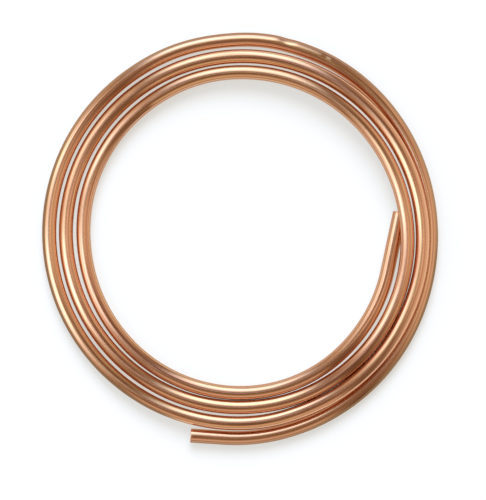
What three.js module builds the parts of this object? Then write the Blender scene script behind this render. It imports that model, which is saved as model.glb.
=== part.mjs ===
// A coil of soft copper tube: one length of round tube wound flat in a loose spiral, with a short
// straight at each square-cut end. Both ends pass under a strand on the same side of the coil, so
// the coil leans a little: on that side its turns rest on its own ends, and on the other side they
// rest on the ground. Its eye is open.
//
// Units are millimetres and degrees. Z is up, and the origin is on the ground under the middle of
// the coil's bounding box. Winding angles are counted clockwise seen from above, from +X, and
// grow from the inner end to the outer one.

import * as THREE from "three";

// The tube.
const TUBE_OUTSIDE = 10;
const TUBE_WALL = 0.7;

// The winding.
const START_RADIUS = 106.6; // of the tube's centreline, where a true spiral would leave +X
const TURN_GAP = 1.1; // air between one turn and the next
const START_ANGLE = 13.5; // where the inner straight ends and the first turn begins
const WOUND_ANGLE = 1161.5; // how far round the tube goes between its two straights
const INNER_STRAIGHT = 43;
const OUTER_STRAIGHT = 23;

// Soft tube doesn't keep to a true spiral. Each wander moves the centreline out (or in, below
// zero) by its shift, fading to nothing over its spread on both sides.
const WANDERS = [
  { at: 75, spread: 70, shift: 1.8 },
  { at: 168, spread: 50, shift: -0.9 },
  { at: 274, spread: 93, shift: 1.4 },
  { at: 412, spread: 98, shift: 1.25 },
  { at: 621, spread: 129, shift: 1.7 },
  { at: 827, spread: 134, shift: 0.85 },
  { at: 973, spread: 129, shift: 2.3 },
  { at: 998, spread: 14, shift: 0.6 },
  { at: 1146, spread: 28, shift: -0.3 },
  { at: 1190, spread: 40, shift: 0.6 },
];

// The outermost turn is tucked in under the turn inside it.
const TUCK_ANGLE = 1085;
const TUCK_SPREAD = 86;
const TUCK_DEPTH = 5;

// The lean. The first turn passes over the inner end and the second turn over the tucked strand,
// and from there each sinks back to the ground over its spread on both sides.
const INNER_CROSSING_ANGLE = 355;
const OUTER_CROSSING_ANGLE = 725;
const LEAN_SPREAD = 180;
const CROSSING_GAP = 0.45; // air between the two strands there
const CROSSING_REACH = 0.5; // the share of the spread that may pass over a strand
const CLIMBED_ANGLE = 75; // where the tube, climbing from its inner end, has joined the lean

// How finely the round forms are cut into flat facets.
const OUTSIDE_FACETS = 16;
const BORE_FACETS = 12;
const STATIONS_PER_TURN = 54;
const STATIONS_PER_STRAIGHT = 2;

const FULL_TURN = 360;
const PITCH = TUBE_OUTSIDE + TURN_GAP;
const END_ANGLE = START_ANGLE + WOUND_ANGLE;

const square = (value) => value * value;

// 1 at the middle of a swell, easing down to 0 at its spread on both sides.
function swell(angle, middle, spread) {
  const away = THREE.MathUtils.clamp((angle - middle) / spread, -1, 1);
  return square(Math.cos((away * Math.PI) / 2));
}

// The centreline's distance from the coil's axis.
function windingRadius(angle) {
  const spiral = START_RADIUS + (PITCH * angle) / FULL_TURN;
  const wandered = WANDERS.reduce(
    (sum, { at, spread, shift }) => sum + shift * swell(angle, at, spread),
    spiral,
  );
  return wandered - TUCK_DEPTH * swell(angle, TUCK_ANGLE, TUCK_SPREAD);
}

// The centreline's place in plan.
function windingPoint(angle) {
  const turned = -THREE.MathUtils.degToRad(angle);
  const radius = windingRadius(angle);
  return new THREE.Vector2(radius * Math.cos(turned), radius * Math.sin(turned));
}

// The way the tube heads in plan, towards the outer end.
function windingHeading(angle) {
  const nudge = 0.01;
  return windingPoint(angle + nudge)
    .sub(windingPoint(angle - nudge))
    .normalize();
}

// The inner straight in plan, from the cut end to the first turn.
function innerStraightInPlan() {
  const start = windingPoint(START_ANGLE);
  const end = start.clone().addScaledVector(windingHeading(START_ANGLE), -INNER_STRAIGHT);
  return new THREE.Line3(new THREE.Vector3(end.x, end.y, 0), new THREE.Vector3(start.x, start.y, 0));
}

const innerStraight = innerStraightInPlan();

// How far along the tube a place in the first turn is from the inner cut end.
function alongFromInnerEnd(angle) {
  return INNER_STRAIGHT + START_RADIUS * THREE.MathUtils.degToRad(angle - START_ANGLE);
}

// The share of the lean that the tube has reached, steeply at first, on its climb from the ground
// at the inner cut end.
function climbed(along) {
  const left = 1 - THREE.MathUtils.clamp(along / alongFromInnerEnd(CLIMBED_ANGLE), 0, 1);
  return 1 - square(left);
}

// The share of the inner crossing's height that the tube has, this far from the inner cut end.
function innerLean(angle, along) {
  const before = swell(angle + FULL_TURN, INNER_CROSSING_ANGLE, LEAN_SPREAD);
  return swell(angle, INNER_CROSSING_ANGLE, LEAN_SPREAD) + before * climbed(along);
}

function outerLean(angle) {
  return swell(angle, OUTER_CROSSING_ANGLE, LEAN_SPREAD);
}

// How far a strand rises to rest on one that passes under it, when their centrelines are this far
// apart in plan.
function riseOver(apart) {
  return Math.sqrt(Math.max(0, square(TUBE_OUTSIDE) - square(apart)));
}

// The lowest a crossing can be that clears the strand under it everywhere. strandUnder gives, at
// an angle of the upper strand, the distance in plan between the two centrelines and the share of
// the crossing's height that the lower strand has itself.
function crossingHeight(crossing, strandUnder) {
  const reach = LEAN_SPREAD * CROSSING_REACH;
  let height = 0;
  for (let angle = crossing - reach; angle <= crossing + reach; angle++) {
    const { apart, share } = strandUnder(angle);
    const upper = swell(angle, crossing, LEAN_SPREAD);
    height = Math.max(height, riseOver(apart) / (upper - share));
  }
  return height + CROSSING_GAP;
}

function innerStraightUnder(angle) {
  const { x, y } = windingPoint(angle);
  const upper = new THREE.Vector3(x, y, 0);
  const along = innerStraight.closestPointToPointParameter(upper, true);
  const lower = innerStraight.at(along, new THREE.Vector3());
  return {
    apart: lower.distanceTo(upper),
    share: innerLean(START_ANGLE, along * INNER_STRAIGHT),
  };
}

function tuckUnder(angle) {
  const below = angle + FULL_TURN;
  return { apart: windingRadius(below) - windingRadius(angle), share: outerLean(below) };
}

const innerHeight = crossingHeight(INNER_CROSSING_ANGLE, innerStraightUnder);
const outerHeight = crossingHeight(OUTER_CROSSING_ANGLE, tuckUnder);

// The centreline's height over the ground.
function windingHeight(angle, along = alongFromInnerEnd(angle)) {
  return (
    TUBE_OUTSIDE / 2 + innerHeight * innerLean(angle, along) + outerHeight * outerLean(angle)
  );
}

// The tube's centreline: the inner straight, the turns and the outer straight. The turns are all
// cut at about the same angles, so the facets of neighbouring turns run side by side.
class TubeCentreline extends THREE.Curve {
  constructor() {
    super();
    this.woundStations = Math.max(1, Math.round((WOUND_ANGLE / FULL_TURN) * STATIONS_PER_TURN));
    this.stations = this.woundStations + 2 * STATIONS_PER_STRAIGHT;
  }

  getPoint(share) {
    const station = share * this.stations;
    const wound = station - STATIONS_PER_STRAIGHT;
    const angle = START_ANGLE + (WOUND_ANGLE * wound) / this.woundStations;
    if (wound < 0) {
      return this.straight(START_ANGLE, (INNER_STRAIGHT * wound) / STATIONS_PER_STRAIGHT);
    }
    if (wound > this.woundStations) {
      const past = wound - this.woundStations;
      return this.straight(END_ANGLE, (OUTER_STRAIGHT * past) / STATIONS_PER_STRAIGHT);
    }
    const { x, y } = windingPoint(angle);
    return new THREE.Vector3(x, y, windingHeight(angle));
  }

  // A place on the straight beyond an end of the winding. past is negative at the inner end.
  straight(angle, past) {
    const { x, y } = windingPoint(angle).addScaledVector(windingHeading(angle), past);
    return new THREE.Vector3(x, y, windingHeight(angle, alongFromInnerEnd(angle) + past));
  }

  // The stations themselves, not points at equal lengths.
  getSpacedPoints(divisions) {
    return this.getPoints(divisions);
  }

  getTangentAt(share) {
    return this.getTangent(share);
  }

  // Upright frames, so that the tube doesn't twist and one flat of it faces the ground all along.
  computeFrenetFrames(segments) {
    const up = new THREE.Vector3(0, 0, 1);
    const frames = { tangents: [], normals: [], binormals: [] };
    for (let station = 0; station <= segments; station++) {
      const tangent = this.getTangentAt(station / segments);
      const normal = new THREE.Vector3().crossVectors(up, tangent).normalize();
      frames.tangents.push(tangent);
      frames.normals.push(normal);
      frames.binormals.push(new THREE.Vector3().crossVectors(tangent, normal));
    }
    return frames;
  }
}

// A closed regular outline with a flat at its foot. Its flats are this far from its middle.
function ringOfFlats(outline, toFlat, facets) {
  const toCorner = toFlat / Math.cos(Math.PI / facets);
  for (let corner = 0; corner < facets; corner++) {
    const turned = -Math.PI / 2 + ((corner + 0.5) * 2 * Math.PI) / facets;
    const x = toCorner * Math.cos(turned);
    const y = toCorner * Math.sin(turned);
    if (corner === 0) {
      outline.moveTo(x, y);
    } else {
      outline.lineTo(x, y);
    }
  }
  outline.closePath();
  return outline;
}

function tubeSection() {
  const outside = TUBE_OUTSIDE / 2;
  const bore = outside - TUBE_WALL;
  const section = ringOfFlats(new THREE.Shape(), outside, OUTSIDE_FACETS);
  section.holes.push(ringOfFlats(new THREE.Path(), bore, BORE_FACETS));
  return section;
}

function copperTube() {
  const centreline = new TubeCentreline();
  const geometry = new THREE.ExtrudeGeometry(tubeSection(), {
    steps: centreline.stations,
    extrudePath: centreline,
  });
  geometry.computeBoundingBox();
  const middle = geometry.boundingBox.getCenter(new THREE.Vector3());
  geometry.translate(-middle.x, -middle.y, -geometry.boundingBox.min.z);
  const copper = new THREE.MeshStandardMaterial({
    name: "copper",
    color: 0xc88a63,
    roughness: 0.28,
    metalness: 1,
  });
  const tube = new THREE.Mesh(geometry, copper);
  tube.name = "copper_tube";
  return tube;
}

const coil = new THREE.Group();
coil.name = "copper_tube_coil";
coil.add(copperTube());

export default coil;
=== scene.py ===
"""A coil of soft copper tube, wound flat in a loose spiral with an open eye.

The tube is one sweep of a hollow round section along the coil's winding rule, made by a Geometry
Nodes tree. Lengths are in metres, and the winding rule's angles are in degrees, counted clockwise
seen from above and growing from the inner end to the outer one.
"""

import math

import bpy
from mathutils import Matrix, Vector


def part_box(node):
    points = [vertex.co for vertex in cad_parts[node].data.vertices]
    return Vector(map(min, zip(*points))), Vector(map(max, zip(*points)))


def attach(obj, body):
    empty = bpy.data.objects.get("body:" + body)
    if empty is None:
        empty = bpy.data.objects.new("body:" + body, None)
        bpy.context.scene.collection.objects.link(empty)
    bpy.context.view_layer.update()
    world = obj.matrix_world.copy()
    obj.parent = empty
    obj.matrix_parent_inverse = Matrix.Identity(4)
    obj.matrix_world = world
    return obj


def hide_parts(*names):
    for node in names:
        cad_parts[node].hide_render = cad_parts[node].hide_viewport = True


MM = 0.001
FULL_TURN = 360.0

# The tube.
TUBE_OUTSIDE = 10 * MM
TUBE_WALL = 0.7 * MM
CUT_EDGE_OUTSIDE = 0.35 * MM  # the cutter's wheel leaves the outer edge rounded
CUT_EDGE_BORE = 0.12 * MM

# The winding. The radius is the centreline's, where a true spiral would leave +X.
START_RADIUS = 106.6 * MM
TURN_GAP = 1.1 * MM
START_ANGLE = 13.5
WOUND_ANGLE = 1161.5
END_ANGLE = START_ANGLE + WOUND_ANGLE
INNER_STRAIGHT = 43 * MM
OUTER_STRAIGHT = 23 * MM
PITCH = TUBE_OUTSIDE + TURN_GAP
LENGTH_PER_DEGREE = START_RADIUS * math.radians(1)  # at the start

# Where the coil strays from a true spiral: the middle of each stray, how far it fades on both
# sides, and how far the centreline moves out.
WANDERS = (
    (75, 70, 1.8 * MM),
    (168, 50, -0.9 * MM),
    (274, 93, 1.4 * MM),
    (412, 98, 1.25 * MM),
    (621, 129, 1.7 * MM),
    (827, 134, 0.85 * MM),
    (973, 129, 2.3 * MM),
    (998, 14, 0.6 * MM),
    (1146, 28, -0.3 * MM),
    (1190, 40, 0.6 * MM),
)
# The outermost turn is tucked in under the turn inside it.
TUCK = (1085, 86, -5 * MM)
# Smaller strays, mostly where two turns touch.
SLIGHT_WANDERS = (
    (40, 26, -0.25 * MM),
    (194, 18, 0.20 * MM),
    (256, 22, 0.35 * MM),
    (450, 24, -0.27 * MM),
    (748.5, 21, -0.32 * MM),
    (773.5, 22, -0.40 * MM),
    (790.5, 14, -0.55 * MM),
    (970, 16, 0.30 * MM),
    (1003, 16, -0.25 * MM),
)

# The lean: the coil rests on its own two ends on one side and on the ground on the other. Each
# crossing is where a strand passes over an end, how far it takes to sink back to the ground on
# both sides, and how high it rises.
INNER_CROSSING = (355, 180, 9.787 * MM)
OUTER_CROSSING = (725, 180, 8.510 * MM)
CLIMBED_ANGLE = 75.0  # where the tube, climbing from its inner end, has joined the lean

# Shallow dents: the place along the coil, how far it fades, the place round the section in
# degrees from the outward side, and the depth.
DENTS = (
    (999.5, 2.0, 50, -0.10 * MM),
    (1003.4, 3.0, 36, 0.60 * MM),
    (1015.5, 1.0, 60, 0.14 * MM),
    (236, 4, 120, 0.10 * MM),
    (590, 5, 60, 0.08 * MM),
)

# How finely the sweep is cut.
SIDES = 40
OUTSIDE_STATIONS = 1600
BORE_STATIONS = 600
EDGE_ROWS = 5
FACE_ROWS = 2
NUDGE = 0.5  # degrees either side of a station, for the heading there
WELD = 0.002 * MM  # points nearer than this become one

# What the skin carries for its material.
SECTION_PLACE = "section_place"  # across, up and along the tube
SKIN_MAP = "skin_map"  # round the section and along the tube

# The copper: clean on top, ruddier in patches, a little duller on the flanks, where the turns lie
# against each other, and darker there with tarnish and painted shade, and darkened with painted
# shade on the coil's two free sides. The cut ends are bare metal.
CLEAN_COPPER = (0.82, 0.47, 0.305)
RUDDY_COPPER = (0.76, 0.385, 0.235)
GOLDEN_COPPER = (0.84, 0.53, 0.24)
SCORED_COPPER = (0.40, 0.17, 0.09)
# tarnish with painted shade between the turns
FLANK_TARNISH_AND_SHADE = (0.69, 0.385, 0.24)
# painted shade on the coil's free sides
RIM_SHADE_COPPER = (0.29, 0.17, 0.092)
BORE_OXIDE = (0.34, 0.15, 0.09)
SAWN_COPPER = (0.86, 0.53, 0.37)
GRAZING_TINT = (0.80, 0.50, 0.34)  # of what the metal mirrors at its edges
CLEAN_ROUGHNESS = 0.15
SMEARED_ROUGHNESS = 0.20
FLANK_ROUGHNESS = 0.24
BORE_ROUGHNESS = 0.5
SAWN_ROUGHNESS = 0.38
DIE_LINE_ROUGHNESS = 0.10  # how much the roughness varies from line to line and ring to ring
CHATTER_ROUGHNESS = 0.05
DRAWN_GRAIN = 0.45  # how much more the die lines scatter light across the tube than along it

# Where the flanks' tarnish and painted shade, the painted shade on the free sides and the oxide
# start and where they are full. The first two are shares of the radius, sideways from the tube's
# middle, and the oxide's of the wall, from outside.
FLANK_STARTS = 0.75
FLANK_FULL = 1.0
FLANK_WAVER = 0.16  # how far the edge of the flanks' tarnish and painted shade comes and goes with the ruddy patches
RIM_SHADE_STARTS = 0.5
RIM_SHADE_FULL = 0.76
OXIDE_STARTS = 0.2
OXIDE_FULL = 0.8
OUTSIDE_RIM_SHADE = 0.65  # how strong the painted shade is on the coil's outer side, and on the side to the eye
EYE_SIDE_RIM_SHADE = 0.25
# Where the painted shade on the outer side is darkest: the middle, and how far it is full and
# fades out.
DARKEST_RIM_SHADE = ((865, 40, 75), (1116, 24, 42))
OUTERMOST_TURN = 830  # where it starts
INNERMOST_TURN = 372  # where it ends
FADE = 12 * MM  # how gradually the painted shade on the free sides starts along the tube, either way

# The patterns in the copper: features per metre across and along the tube, and how much fine
# detail they have. Levels say where a pattern starts to show and where it shows in full, and a
# share is the most that it shows.
DIE_LINES = (3600, 28, 3.0)
CHATTER = (60, 1700, 1.0)
RIPPLES = (260, 95, 2.0)
RUDDY_PATCHES = (240, 16, 3.0)
RUDDY_LEVELS = (0.42, 0.66)
RUDDY_SHARE = 0.6
DRAW_LINES = (1100, 9, 2.0)
DRAW_LINE_LEVELS = (0.45, 0.7)
DRAW_LINE_SHARE = 0.7
GOLDEN_LINES = (1500, 5, 2.0)
GOLDEN_LEVELS = (0.45, 0.65)
GOLDEN_SHARE = 0.7
SMEARS = (330, 60, 4.0)
SMEAR_LEVELS = (0.5, 0.72)
SCORES = (430, 3.5, 1.0)
SCORE_EDGES = (0.045, 0.008)  # the noise's distance from its middle at a score's edge and bed
SCORED_STRETCHES = (300, 14, 1.0)
SCORED_LEVELS = (0.42, 0.6)
SCORE_SHARE = 0.65
DINGS = (110, 70)
DING_EDGES = (0.10, 0.0)  # how far from its middle a ding starts and is deepest
DING_LEVELS = (0.90, 0.93)  # so that few of the places for a ding have one
NOISE_MIDDLE = 0.5

# Depths of the surface's marks.
DIE_LINE_DEPTH = 0.0045 * MM
DRAW_LINE_DEPTH = 0.022 * MM
CHATTER_DEPTH = 0.0015 * MM
RIPPLE_DEPTH = 0.028 * MM
DING_DEPTH = 0.03 * MM
SCORE_DEPTH = 0.02 * MM

# The floor is mid grey where light falls on it, and a glow lifts it where it is seen.
FLOOR_SIZE = 16.0
FLOOR_COLOUR = (0.298, 0.324, 0.356)
FLOOR_ROUGHNESS = 0.9
FLOOR_LIFT = (0.555, 0.55, 0.515)
SEEING_RAYS = ("Is Camera Ray", "Is Glossy Ray", "Is Transmission Ray")

# The room's light overhead, halfway down and at the horizon, and the last two's angles.
ROOM_LEVELS = (0.24, 0.19, 0.16)
HALFWAY_DOWN = 45.0
HORIZON = 90.0
ROOM_TINT = (1.08, 0.69, 0.45)
PANEL_WHITE = (0.79, 1.03, 1.31)
WALL_TINT = (0.92, 0.82, 0.71)
# Each panel's azimuth anticlockwise from +X, half its width and the blur of its sides, how far
# down from overhead it starts and ends and the blur there, all in degrees, and then its level and
# its tint.
PANELS = (
    (194.3, 14.5, 26, 10.5, 63, 58, 2.4, PANEL_WHITE),
    (155.7, 12.5, 22, 21, 68, 53, 1.6, PANEL_WHITE),
    (95.3, 24.5, 19, 28, 78, 52, 2.3, PANEL_WHITE),
    (176.5, 49, 14, 25.5, 87, 5, 0.52, WALL_TINT),
    (9, 43, 38, 48, 110, 33, 0.71, WALL_TINT),
    (-2, 25, 40, -22, 34, 58, 0.90, WALL_TINT),
    (267, 35, 12, 46, 79, 51, 0.80, WALL_TINT),
)
# The far lamp's azimuth, how far down from overhead it stands and how wide it is, in degrees, and
# its level. It casts the coil's shadow, and the metal doesn't mirror it.
FAR_LAMP = (88, 46, 42, 3.3)
FAR_LAMP_COLOUR = (1.0, 0.95, 0.96)

# The view, from straight above.
SENSOR = 36  # in the camera's own millimetres
CAMERA_HEIGHT = 6.0
CAMERA_REACH = 20.0
PIXEL = 0.7092 * MM  # on the tube
IMAGE_HEIGHT = 500
VIEW_HEIGHT = IMAGE_HEIGHT * PIXEL
VIEW_MIDDLE = (2.05 * MM, -7.90 * MM)


# ---------------------------------------------------------------- formulas in a node tree


class Term:
    """A socket of a node tree that can be used in a plain formula."""

    def __init__(self, tree, socket):
        self.tree = tree
        self.socket = socket

    def maths(self, operation, *others):
        node = self.tree.nodes.new("ShaderNodeMath")
        node.operation = operation
        for place, value in enumerate((self, *others)):
            plug(self.tree, node.inputs[place], value)
        return Term(self.tree, node.outputs[0])

    def clamped(self, low, high):
        return self.maths("MINIMUM", high).maths("MAXIMUM", low)

    def __add__(self, other):
        return self.maths("ADD", other)

    def __sub__(self, other):
        return self.maths("SUBTRACT", other)

    def __rsub__(self, other):
        return self * -1.0 + other

    def __mul__(self, other):
        return self.maths("MULTIPLY", other)

    def __truediv__(self, other):
        return self.maths("DIVIDE", other)

    __radd__ = __add__
    __rmul__ = __mul__


def plug(tree, socket, value):
    """Links a term to a socket, or writes a plain value in it."""
    if isinstance(value, Term):
        tree.links.new(value.socket, socket)
    else:
        socket.default_value = value


def new_node(tree, kind, **inputs):
    """A node with some of its inputs plugged. An underscore stands for a space in their names."""
    node = tree.nodes.new(kind)
    for label, value in inputs.items():
        plug(tree, node.inputs[label.replace("_", " ")], value)
    return node


def vector_maths(tree, operation, *terms, scale=None):
    node = tree.nodes.new("ShaderNodeVectorMath")
    node.operation = operation
    for place, value in enumerate(terms):
        plug(tree, node.inputs[place], value)
    if scale is not None:
        plug(tree, node.inputs["Scale"], scale)
    return Term(tree, node.outputs[0])


def joined(tree, x, y, z):
    """A vector made of three numbers."""
    return Term(tree, new_node(tree, "ShaderNodeCombineXYZ", X=x, Y=y, Z=z).outputs[0])


def taken_apart(tree, vector):
    """The three numbers of a vector."""
    node = new_node(tree, "ShaderNodeSeparateXYZ", Vector=vector)
    return tuple(Term(tree, socket) for socket in node.outputs)


def towards(start, goal, share):
    return start + (goal - start) * share


def new_group(name, inputs, outputs):
    """A node group, with its inputs as terms and its output node."""
    tree = bpy.data.node_groups.new(name, "GeometryNodeTree")
    for kind, label in inputs:
        tree.interface.new_socket(name=label, in_out="INPUT", socket_type=kind)
    for kind, label in outputs:
        tree.interface.new_socket(name=label, in_out="OUTPUT", socket_type=kind)
    entry = tree.nodes.new("NodeGroupInput")
    given = {label: Term(tree, entry.outputs[label]) for _, label in inputs}
    return tree, given, tree.nodes.new("NodeGroupOutput")


def use_group(tree, group, *values):
    node = tree.nodes.new("GeometryNodeGroup")
    node.node_tree = group
    for socket, value in zip(node.inputs, values):
        plug(tree, socket, value)
    return Term(tree, node.outputs[0])


FLOAT = "NodeSocketFloat"
INTEGER = "NodeSocketInt"
VECTOR = "NodeSocketVector"
GEOMETRY = "NodeSocketGeometry"


# ---------------------------------------------------------------- the winding rule


def swell_group():
    """1 at the middle, easing to 0 at the spread on both sides."""
    tree, given, out = new_group(
        "Swell",
        ((FLOAT, "Angle"), (FLOAT, "Middle"), (FLOAT, "Spread")),
        ((FLOAT, "Swell"),),
    )
    away = (given["Angle"] - given["Middle"]) / given["Spread"]
    cosine = (away.clamped(-1.0, 1.0) * (math.pi / 2)).maths("COSINE")
    plug(tree, out.inputs[0], cosine * cosine)
    return tree


def along_from_inner_end(angle):
    """How far along the tube a place in the first turn is from the inner cut end."""
    return INNER_STRAIGHT + START_RADIUS * math.radians(angle - START_ANGLE)


def winding_group(swell):
    """The centreline's place at an angle of the winding.

    Along is the place's distance from the inner cut end. It matters only near that end, where
    the tube climbs from the ground.
    """
    tree, given, out = new_group(
        "Winding",
        (
            (FLOAT, "Angle"),
            (FLOAT, "Along"),
            (FLOAT, "Start Radius"),
            (FLOAT, "Pitch"),
            (FLOAT, "Rest Height"),
        ),
        ((VECTOR, "Place"),),
    )
    angle = given["Angle"]
    radius = given["Start Radius"] + given["Pitch"] * (angle / FULL_TURN)
    for middle, spread, shift in (*WANDERS, TUCK, *SLIGHT_WANDERS):
        radius = radius + use_group(tree, swell, angle, middle, spread) * shift

    middle, spread, rise = INNER_CROSSING
    left = (1.0 - given["Along"] / along_from_inner_end(CLIMBED_ANGLE)).clamped(0.0, 1.0)
    before = use_group(tree, swell, angle + FULL_TURN, middle, spread)
    lean = use_group(tree, swell, angle, middle, spread) + before * (1.0 - left * left)
    height = given["Rest Height"] + lean * rise
    middle, spread, rise = OUTER_CROSSING
    height = height + use_group(tree, swell, angle, middle, spread) * rise

    turned = (angle * -1.0).maths("RADIANS")
    x = radius * turned.maths("COSINE")
    y = radius * turned.maths("SINE")
    plug(tree, out.inputs[0], joined(tree, x, y, height))
    return tree


def centreline_place(tree, winding, station, rule, length_per_degree):
    """The centreline's place, wherever along the straights and the winding the station is."""
    angle = station.clamped(START_ANGLE, END_ANGLE)
    along = (station - START_ANGLE) * length_per_degree + INNER_STRAIGHT
    wound = use_group(tree, winding, angle, along, *rule)
    ahead = use_group(tree, winding, angle + NUDGE, along, *rule)
    behind = use_group(tree, winding, angle - NUDGE, along, *rule)
    run = vector_maths(tree, "SUBTRACT", ahead, behind)
    run = vector_maths(tree, "NORMALIZE", vector_maths(tree, "MULTIPLY", run, (1.0, 1.0, 0.0)))
    past = vector_maths(tree, "SCALE", run, scale=(station - angle) * length_per_degree)
    return vector_maths(tree, "ADD", wound, past)


def dented_radius(tree, swell, station, around, radius):
    for middle, spread, facing_angle, depth in DENTS:
        facing = (around - math.radians(facing_angle)).maths("COSINE").maths("MAXIMUM", 0.0)
        reach = use_group(tree, swell, station, middle, spread)
        radius = radius - facing * facing * facing * reach * depth
    return radius


def station_group(swell, winding):
    """A point of the tube's skin.

    Station runs along the tube: an angle of the winding, carried on past either end of it into
    the straights. Radius is from the centreline, and Around is the turn about it in radians.
    """
    tree, given, out = new_group(
        "Station",
        (
            (FLOAT, "Station"),
            (FLOAT, "Around"),
            (FLOAT, "Radius"),
            (FLOAT, "Start Radius"),
            (FLOAT, "Pitch"),
            (FLOAT, "Rest Height"),
            (FLOAT, "Length per Degree"),
        ),
        ((VECTOR, "Place"),),
    )
    station, around = given["Station"], given["Around"]
    rule = (given["Start Radius"], given["Pitch"], given["Rest Height"])
    place, behind, ahead = (
        centreline_place(tree, winding, spot, rule, given["Length per Degree"])
        for spot in (station, station - NUDGE, station + NUDGE)
    )
    heading = vector_maths(tree, "NORMALIZE", vector_maths(tree, "SUBTRACT", ahead, behind))
    left = vector_maths(tree, "CROSS_PRODUCT", (0.0, 0.0, 1.0), heading)
    left = vector_maths(tree, "NORMALIZE", left)
    top = vector_maths(tree, "CROSS_PRODUCT", heading, left)
    radius = dented_radius(tree, swell, station, around, given["Radius"])
    for direction, share in ((left, around.maths("COSINE")), (top, around.maths("SINE"))):
        step = vector_maths(tree, "SCALE", direction, scale=radius * share)
        place = vector_maths(tree, "ADD", place, step)
    plug(tree, out.inputs[0], place)
    return tree


def length_at(station, length_per_degree, pitch):
    """How far along the tube a station is, from where a true spiral would leave +X."""
    growth = station * station * pitch * (math.radians(1) / 2 / FULL_TURN)
    return station * length_per_degree + growth


# ---------------------------------------------------------------- the tube


def skin_strips(given, share, outside, length_per_degree):
    """The loop of strips that makes the skin, each as its rows, its station and its radius.

    It runs along the outside, over the rounded edge and the wall's end face at the outer end,
    back along the bore, and over the inner end. share is how far along its strip a point is.
    """
    bore = outside - given["Tube Wall"]
    edge, bore_edge = given["Cut Edge Outside"], given["Cut Edge Bore"]
    face_outside, face_bore = outside - edge, bore + bore_edge
    inner_end = START_ANGLE - given["Inner Straight"] / length_per_degree
    outer_end = END_ANGLE + given["Outer Straight"] / length_per_degree

    def over_edge(end, inwards, middle, size, side, turned):
        """A quarter turn over a cut edge, as the station and the radius.

        inwards is -1 or 1, the way from this end into the tube. side is 1 on the outside and -1
        in the bore. The turn starts on the long side.
        """
        turn = turned * (math.pi / 2)
        depth = (1.0 - turn.maths("SINE")) * size * inwards
        return end + depth / length_per_degree, middle + turn.maths("COSINE") * size * side

    def over_outside_edge(end, inwards, turned):
        return over_edge(end, inwards, face_outside, edge, 1.0, turned)

    def over_bore_edge(end, inwards, turned):
        return over_edge(end, inwards, face_bore, bore_edge, -1.0, turned)

    edge_angle, bore_edge_angle = edge / length_per_degree, bore_edge / length_per_degree
    along_outside = towards(inner_end + edge_angle, outer_end - edge_angle, share)
    along_bore = towards(outer_end - bore_edge_angle, inner_end + bore_edge_angle, share)
    back = 1.0 - share
    return (
        (given["Outside Stations"], along_outside, outside),
        (EDGE_ROWS, *over_outside_edge(outer_end, -1.0, share)),
        (FACE_ROWS, outer_end, towards(face_outside, face_bore, share)),
        (EDGE_ROWS, *over_bore_edge(outer_end, -1.0, back)),
        (given["Bore Stations"], along_bore, bore),
        (EDGE_ROWS, *over_bore_edge(inner_end, 1.0, share)),
        (FACE_ROWS, inner_end, towards(face_bore, face_outside, share)),
        (EDGE_ROWS, *over_outside_edge(inner_end, 1.0, back)),
    )


def with_attribute(tree, geometry, name, data_type, domain, value):
    """The geometry with a value kept on it under a name."""
    node = tree.nodes.new("GeometryNodeStoreNamedAttribute")
    node.data_type = data_type
    node.domain = domain
    for label, given in (("Geometry", geometry), ("Name", name), ("Value", value)):
        plug(tree, node.inputs[label], given)
    return Term(tree, node.outputs[0])


def swept_strip(tree, station, sides, around, rule, strip):
    """One strip of the skin.

    Its grid's X runs along the loop of strips, and its Y round the section.
    """
    rows, along, radius = strip
    _, pitch, outside, length_per_degree = rule
    grid = new_node(
        tree,
        "GeometryNodeMeshGrid",
        Size_X=1.0,
        Size_Y=1.0,
        Vertices_X=rows,
        Vertices_Y=sides + 1.0,
    )
    length = length_at(along, length_per_degree, pitch)
    section = joined(tree, radius * around.maths("COSINE"), radius * around.maths("SINE"), length)
    skin_map = joined(tree, around * outside, length, 0.0)
    skin = Term(tree, grid.outputs["Mesh"])
    skin = with_attribute(tree, skin, SECTION_PLACE, "FLOAT_VECTOR", "POINT", section)
    skin = with_attribute(tree, skin, SKIN_MAP, "FLOAT2", "CORNER", skin_map)
    place = use_group(tree, station, along, around, radius, *rule)
    swept = new_node(tree, "GeometryNodeSetPosition", Geometry=skin, Position=place)
    return Term(tree, swept.outputs[0])


def closed_skin(tree, strips, material):
    """The strips joined at their rims, facing out, smooth and with their material."""
    join = tree.nodes.new("GeometryNodeJoinGeometry")
    for strip in strips:
        plug(tree, join.inputs[0], strip)

    # Swept as they are, the grids' faces point into the wall.
    turned = new_node(tree, "GeometryNodeFlipFaces", Mesh=Term(tree, join.outputs[0]))
    skin = Term(tree, turned.outputs[0])
    for kind, settings in (
        ("GeometryNodeMergeByDistance", {"Distance": WELD}),
        ("GeometryNodeSetShadeSmooth", {}),
        ("GeometryNodeRealizeInstances", {}),
        ("GeometryNodeSetMaterial", {"Material": material}),
    ):
        skin = Term(tree, new_node(tree, kind, Geometry=skin, **settings).outputs[0])
    return skin


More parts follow.
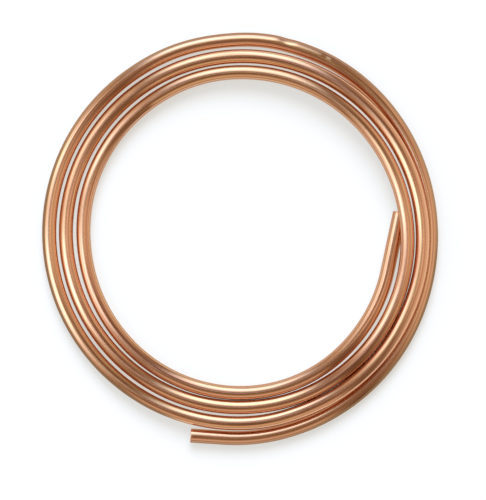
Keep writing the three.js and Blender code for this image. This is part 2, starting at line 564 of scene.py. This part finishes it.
def tube_tree(station, material):
    """Sweeps the hollow section along the winding as one closed skin."""
    tree, given, out = new_group(
        "Coiled tube",
        (
            (GEOMETRY, "Geometry"),
            (FLOAT, "Tube Outside"),
            (FLOAT, "Tube Wall"),
            (FLOAT, "Start Radius"),
            (FLOAT, "Turn Gap"),
            (FLOAT, "Inner Straight"),
            (FLOAT, "Outer Straight"),
            (FLOAT, "Cut Edge Outside"),
            (FLOAT, "Cut Edge Bore"),
            (INTEGER, "Outside Stations"),
            (INTEGER, "Bore Stations"),
            (INTEGER, "Sides"),
        ),
        ((GEOMETRY, "Tube"),),
    )
    outside = given["Tube Outside"] * 0.5
    pitch = given["Tube Outside"] + given["Turn Gap"]
    length_per_degree = given["Start Radius"] * math.radians(1)
    rule = (given["Start Radius"], pitch, outside, length_per_degree)

    # Each grid is 1 wide and 1 long about its middle.
    grid_place = Term(tree, tree.nodes.new("GeometryNodeInputPosition").outputs[0])
    grid_x, grid_y, _ = taken_apart(tree, grid_place)
    share = grid_x + 0.5
    around = (grid_y + 0.5) * (2 * math.pi)

    strips = [
        swept_strip(tree, station, given["Sides"], around, rule, strip)
        for strip in skin_strips(given, share, outside, length_per_degree)
    ]
    plug(tree, out.inputs[0], closed_skin(tree, strips, material))
    return tree


def plain_mesh(name, tree, sizes):
    """Runs a tree with its sizes and returns what it makes as an object with a plain mesh."""
    maker = bpy.data.objects.new(name + ".maker", bpy.data.meshes.new(name + ".maker"))
    bpy.context.collection.objects.link(maker)
    modifier = maker.modifiers.new("Maker", "NODES")
    modifier.node_group = tree
    for item in tree.interface.items_tree:
        if item.in_out == "INPUT" and item.name in sizes:
            modifier[item.identifier] = sizes[item.name]
    made = maker.evaluated_get(bpy.context.evaluated_depsgraph_get())
    mesh = bpy.data.meshes.new_from_object(made)
    mesh.name = name
    bpy.data.objects.remove(maker)
    piece = bpy.data.objects.new(name, mesh)
    bpy.context.collection.objects.link(piece)
    return piece


def copper_tube():
    swell = swell_group()
    tree = tube_tree(station_group(swell, winding_group(swell)), drawn_copper())
    tube = plain_mesh(
        "coiled_copper_tube",
        tree,
        {
            "Tube Outside": TUBE_OUTSIDE,
            "Tube Wall": TUBE_WALL,
            "Start Radius": START_RADIUS,
            "Turn Gap": TURN_GAP,
            "Inner Straight": INNER_STRAIGHT,
            "Outer Straight": OUTER_STRAIGHT,
            "Cut Edge Outside": CUT_EDGE_OUTSIDE,
            "Cut Edge Bore": CUT_EDGE_BORE,
            "Outside Stations": OUTSIDE_STATIONS,
            "Bore Stations": BORE_STATIONS,
            "Sides": SIDES,
        },
    )
    low, high = (Vector(corner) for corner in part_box("copper_tube"))
    corners = [Vector(corner) for corner in tube.bound_box]
    middle = sum(corners, Vector()) / len(corners)
    shift = (low + high) / 2 - middle
    shift.z = low.z
    for vertex in tube.data.vertices:
        vertex.co += shift
    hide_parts("copper_tube")
    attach(tube, "root")


# ---------------------------------------------------------------- materials


def shader(name):
    """A material, its tree and its main shader."""
    material = bpy.data.materials.new(name)
    material.use_nodes = True
    return material, material.node_tree, material.node_tree.nodes["Principled BSDF"]


def eased(term, low, high):
    """0 up to low, easing to 1 at high. low may be the larger."""
    node = term.tree.nodes.new("ShaderNodeMapRange")
    node.interpolation_type = "SMOOTHSTEP"
    plug(term.tree, node.inputs["Value"], term)
    plug(term.tree, node.inputs["From Min"], low)
    plug(term.tree, node.inputs["From Max"], high)
    return Term(term.tree, node.outputs["Result"])


# A Mix node's sockets for colours. Its sockets for numbers and vectors have the same names.
FIRST_COLOUR = 6
SECOND_COLOUR = 7
MIXED_COLOUR = 2


def mixed(tree, share, first, second):
    """A blend of two colours."""
    node = tree.nodes.new("ShaderNodeMix")
    node.data_type = "RGBA"
    plug(tree, node.inputs["Factor"], share)
    for place, colour in ((FIRST_COLOUR, first), (SECOND_COLOUR, second)):
        plug(tree, node.inputs[place], colour if isinstance(colour, Term) else (*colour, 1.0))
    return Term(tree, node.outputs[MIXED_COLOUR])


def coated(tree, colour, *coats):
    """A colour under several coats, each of them a share and a colour."""
    for share, coat in coats:
        colour = mixed(tree, share, colour, coat)
    return colour


def stretched(tree, place, across, along):
    """The section place scaled for a pattern: features per metre across and along the tube."""
    return vector_maths(tree, "MULTIPLY", place, (across, across, along))


def noise(tree, place, pattern):
    across, along, detail = pattern
    scaled = stretched(tree, place, across, along)
    node = new_node(tree, "ShaderNodeTexNoise", Vector=scaled, Scale=1.0, Detail=detail)
    return Term(tree, node.outputs["Fac"])


def tube_place(tree):
    """Where on the tube a point of its skin is.

    That is its section place, how far it is sideways as a share of its radius, its radius and its
    length along the tube.
    """
    read = tree.nodes.new("ShaderNodeAttribute")
    read.attribute_name = SECTION_PLACE
    place = Term(tree, read.outputs["Vector"])
    across, up, length = taken_apart(tree, place)
    radius = (across * across + up * up).maths("SQRT")
    return place, across / radius, radius, length


def coil_length(angle):
    """How far along the tube an angle of the winding is."""
    return length_at(angle, LENGTH_PER_DEGREE, PITCH)


def on_cut_ends(length):
    """1 on the two cut faces and 0 past their rounded edges."""
    inner_end = coil_length(START_ANGLE - INNER_STRAIGHT / LENGTH_PER_DEGREE)
    outer_end = coil_length(END_ANGLE + OUTER_STRAIGHT / LENGTH_PER_DEGREE)
    at_inner = eased(length, inner_end + CUT_EDGE_OUTSIDE, inner_end)
    at_outer = eased(length, outer_end - CUT_EDGE_OUTSIDE, outer_end)
    return at_inner.maths("MAXIMUM", at_outer)


def on_flanks(sideways, patches):
    """1 at the tube's widest, where the turns lie against each other and the flanks get tarnish
    and painted shade.
    """
    wavering = sideways.maths("ABSOLUTE") + patches * FLANK_WAVER - FLANK_WAVER / 2
    return eased(wavering, FLANK_STARTS, FLANK_FULL)


def in_bore(radius):
    outside = TUBE_OUTSIDE / 2
    return eased(radius, outside - TUBE_WALL * OXIDE_STARTS, outside - TUBE_WALL * OXIDE_FULL)


def rim_shade_darkest(length):
    """1 on the stretches where the painted shade on the outer side is darkest."""
    shares = []
    for middle, full, last in DARKEST_RIM_SHADE:
        away = (length - coil_length(middle)).maths("ABSOLUTE")
        reaches = (coil_length(middle + reach) - coil_length(middle) for reach in (last, full))
        shares.append(eased(away, *reaches))
    return sum(shares)


def painted_rim_shade(sideways, length):
    """The share of painted shade on the outermost turn's outer side and the innermost turn's eye
    side.
    """
    outermost, innermost = coil_length(OUTERMOST_TURN), coil_length(INNERMOST_TURN)
    outer = eased(sideways, RIM_SHADE_STARTS, RIM_SHADE_FULL)
    outer = outer * towards(OUTSIDE_RIM_SHADE, 1.0, rim_shade_darkest(length))
    outer = outer * eased(length, outermost - FADE, outermost + FADE)
    inner = eased(sideways, -RIM_SHADE_STARTS, -RIM_SHADE_FULL) * EYE_SIDE_RIM_SHADE
    inner = inner * eased(length, innermost + FADE, innermost - FADE)
    return outer.maths("MAXIMUM", inner)


def score_lines(tree, place):
    """Long thin lines that the drawing die scored, coming and going along the tube."""
    away = (noise(tree, place, SCORES) - NOISE_MIDDLE).maths("ABSOLUTE")
    return eased(away, *SCORE_EDGES) * eased(noise(tree, place, SCORED_STRETCHES), *SCORED_LEVELS)


def scattered_dings(tree, place):
    """Small round dings, few and far between."""
    scaled = stretched(tree, place, *DINGS)
    cells = new_node(tree, "ShaderNodeTexVoronoi", Vector=scaled, Scale=1.0)
    chosen = new_node(tree, "ShaderNodeSeparateColor", Color=Term(tree, cells.outputs["Color"]))
    ding = eased(Term(tree, cells.outputs["Distance"]), *DING_EDGES)
    return ding * eased(Term(tree, chosen.outputs["Red"]), *DING_LEVELS)


def relief(tree, place, die_lines, draw_lines, chatter, scores):
    """The way that the skin faces, with all of its marks."""
    height = die_lines * DIE_LINE_DEPTH + draw_lines * DRAW_LINE_DEPTH + chatter * CHATTER_DEPTH
    height = height + noise(tree, place, RIPPLES) * RIPPLE_DEPTH
    height = height - scattered_dings(tree, place) * DING_DEPTH - scores * SCORE_DEPTH
    bump = new_node(tree, "ShaderNodeBump", Strength=1.0, Distance=1.0, Height=height)
    return Term(tree, bump.outputs["Normal"])


def grain_direction(tree):
    grain = tree.nodes.new("ShaderNodeTangent")
    grain.direction_type = "UV_MAP"
    grain.uv_map = SKIN_MAP
    return Term(tree, grain.outputs["Tangent"])


def drawn_copper():
    """Drawn tube: lengthwise die lines, faint rings, ruddy patches, dull flanks with tarnish and
    painted shade, and painted shade on the free sides.
    """
    material, tree, surface = shader("drawn_copper")
    place, sideways, radius, length = tube_place(tree)
    die_lines = noise(tree, place, DIE_LINES)
    draw_lines = noise(tree, place, DRAW_LINES)
    chatter = noise(tree, place, CHATTER)
    patches = noise(tree, place, RUDDY_PATCHES)
    scores = score_lines(tree, place)
    shaded_flank = on_flanks(sideways, patches)
    oxide = in_bore(radius)
    sawn = on_cut_ends(length)

    golden = eased(noise(tree, place, GOLDEN_LINES), *GOLDEN_LEVELS)
    colour = coated(
        tree,
        CLEAN_COPPER,
        (eased(patches, *RUDDY_LEVELS) * RUDDY_SHARE, RUDDY_COPPER),
        (eased(draw_lines, *DRAW_LINE_LEVELS) * DRAW_LINE_SHARE, RUDDY_COPPER),
        (golden * GOLDEN_SHARE, GOLDEN_COPPER),
        (scores * SCORE_SHARE, SCORED_COPPER),
        # tarnish and painted shade on the flanks between the turns
        (shaded_flank, FLANK_TARNISH_AND_SHADE),
        # painted shade on the coil's free sides
        (painted_rim_shade(sideways, length), RIM_SHADE_COPPER),
        (oxide, BORE_OXIDE),
        (sawn, SAWN_COPPER),
    )
    plug(tree, surface.inputs["Base Color"], colour)

    smeared = eased(noise(tree, place, SMEARS), *SMEAR_LEVELS)
    roughness = towards(CLEAN_ROUGHNESS, SMEARED_ROUGHNESS, smeared)
    roughness = roughness + (die_lines - NOISE_MIDDLE) * DIE_LINE_ROUGHNESS
    roughness = roughness + (chatter - NOISE_MIDDLE) * CHATTER_ROUGHNESS
    roughness = towards(roughness, FLANK_ROUGHNESS, shaded_flank)
    roughness = towards(roughness, BORE_ROUGHNESS, oxide)
    roughness = towards(roughness, SAWN_ROUGHNESS, sawn)
    plug(tree, surface.inputs["Roughness"], roughness)

    normal = relief(tree, place, die_lines, draw_lines, chatter, scores)
    plug(tree, surface.inputs["Normal"], normal)
    plug(tree, surface.inputs["Tangent"], grain_direction(tree))
    surface.inputs["Anisotropic"].default_value = DRAWN_GRAIN
    surface.inputs["Specular Tint"].default_value = (*GRAZING_TINT, 1.0)
    surface.inputs["Metallic"].default_value = 1.0
    return material


def pale_floor():
    """Matt grey with a glow, which is seen, straight or mirrored, and lights nothing."""
    material, tree, surface = shader("pale_floor")
    surface.inputs["Base Color"].default_value = (*FLOOR_COLOUR, 1.0)
    surface.inputs["Roughness"].default_value = FLOOR_ROUGHNESS
    surface.inputs["Specular IOR Level"].default_value = 0.0
    path = tree.nodes.new("ShaderNodeLightPath")
    from_camera, mirrored, through_glass = (Term(tree, path.outputs[ray]) for ray in SEEING_RAYS)
    seen = from_camera.maths("MAXIMUM", mirrored).maths("MAXIMUM", through_glass)
    glow = new_node(tree, "ShaderNodeEmission", Color=(*FLOOR_LIFT, 1.0), Strength=seen)
    both = tree.nodes.new("ShaderNodeAddShader")
    for socket, shade in zip(both.inputs, (surface, glow)):
        tree.links.new(shade.outputs[0], socket)
    tree.links.new(both.outputs[0], tree.nodes["Material Output"].inputs["Surface"])
    return material


# ---------------------------------------------------------------- stage, lamps and camera


def floor():
    bpy.ops.mesh.primitive_plane_add(size=FLOOR_SIZE)
    ground = bpy.context.object
    ground.name = "floor"
    ground.data.materials.append(pale_floor())


def room_light(tree, zenith):
    overhead, halfway, horizon = ROOM_LEVELS
    level = towards(overhead, halfway, eased(zenith, 0.0, HALFWAY_DOWN))
    level = towards(level, horizon, eased(zenith, HALFWAY_DOWN, HORIZON))
    return vector_maths(tree, "SCALE", ROOM_TINT, scale=level)


def panel_light(tree, azimuth, zenith, panel):
    """One panel's light, fading out over its blurred sides and ends."""
    middle, half_width, side_blur, top, foot, end_blur, level, tint = panel
    away = (azimuth - math.radians(middle)).maths("COSINE").maths("ARCCOSINE").maths("DEGREES")
    share = eased(away, half_width + side_blur / 2, half_width - side_blur / 2)
    share = share * eased(zenith, top - end_blur / 2, top + end_blur / 2)
    share = share * eased(zenith, foot + end_blur / 2, foot - end_blur / 2)
    return vector_maths(tree, "SCALE", tint, scale=share * level)


def studio():
    """A dim warm room with soft panels over and round the coil."""
    world = bpy.data.worlds.new("studio")
    bpy.context.scene.world = world
    world.use_nodes = True
    tree = world.node_tree
    look = tree.nodes.new("ShaderNodeTexCoord")
    x, y, z = taken_apart(tree, Term(tree, look.outputs["Generated"]))
    azimuth = y.maths("ARCTAN2", x)
    zenith = z.maths("ARCCOSINE").maths("DEGREES")
    light = room_light(tree, zenith)
    for panel in PANELS:
        light = vector_maths(tree, "ADD", light, panel_light(tree, azimuth, zenith, panel))
    background = tree.nodes["Background"]
    plug(tree, background.inputs["Color"], light)
    background.inputs["Strength"].default_value = 1.0


def far_lamp():
    """A broad lamp on the far side, which lights the floor and isn't mirrored in the metal."""
    azimuth, from_overhead, width, level = FAR_LAMP
    lamp = bpy.data.lights.new("far_lamp", "SUN")
    lamp.energy = level
    lamp.angle = math.radians(width)
    lamp.color = FAR_LAMP_COLOUR
    stand = bpy.data.objects.new("far_lamp", lamp)
    bpy.context.collection.objects.link(stand)
    stand.rotation_euler = (0.0, math.radians(from_overhead), math.radians(azimuth))
    stand.visible_glossy = False


def camera():
    lens = bpy.data.cameras.new("camera")
    lens.sensor_width = SENSOR
    lens.lens = SENSOR * CAMERA_HEIGHT / VIEW_HEIGHT
    lens.clip_end = CAMERA_REACH
    viewer = bpy.data.objects.new("camera", lens)
    bpy.context.collection.objects.link(viewer)
    viewer.location = (*VIEW_MIDDLE, CAMERA_HEIGHT + TUBE_OUTSIDE / 2)
    bpy.context.scene.camera = viewer


# ---------------------------------------------------------------- the scene

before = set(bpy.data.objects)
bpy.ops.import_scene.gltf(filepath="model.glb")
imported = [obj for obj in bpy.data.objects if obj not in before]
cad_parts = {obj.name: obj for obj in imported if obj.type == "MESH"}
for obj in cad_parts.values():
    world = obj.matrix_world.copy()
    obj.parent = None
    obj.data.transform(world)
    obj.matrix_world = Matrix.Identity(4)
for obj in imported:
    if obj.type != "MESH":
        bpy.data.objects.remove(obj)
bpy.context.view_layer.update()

copper_tube()
floor()
studio()
far_lamp()
camera()
bpy.context.scene.view_settings.view_transform = "Standard"
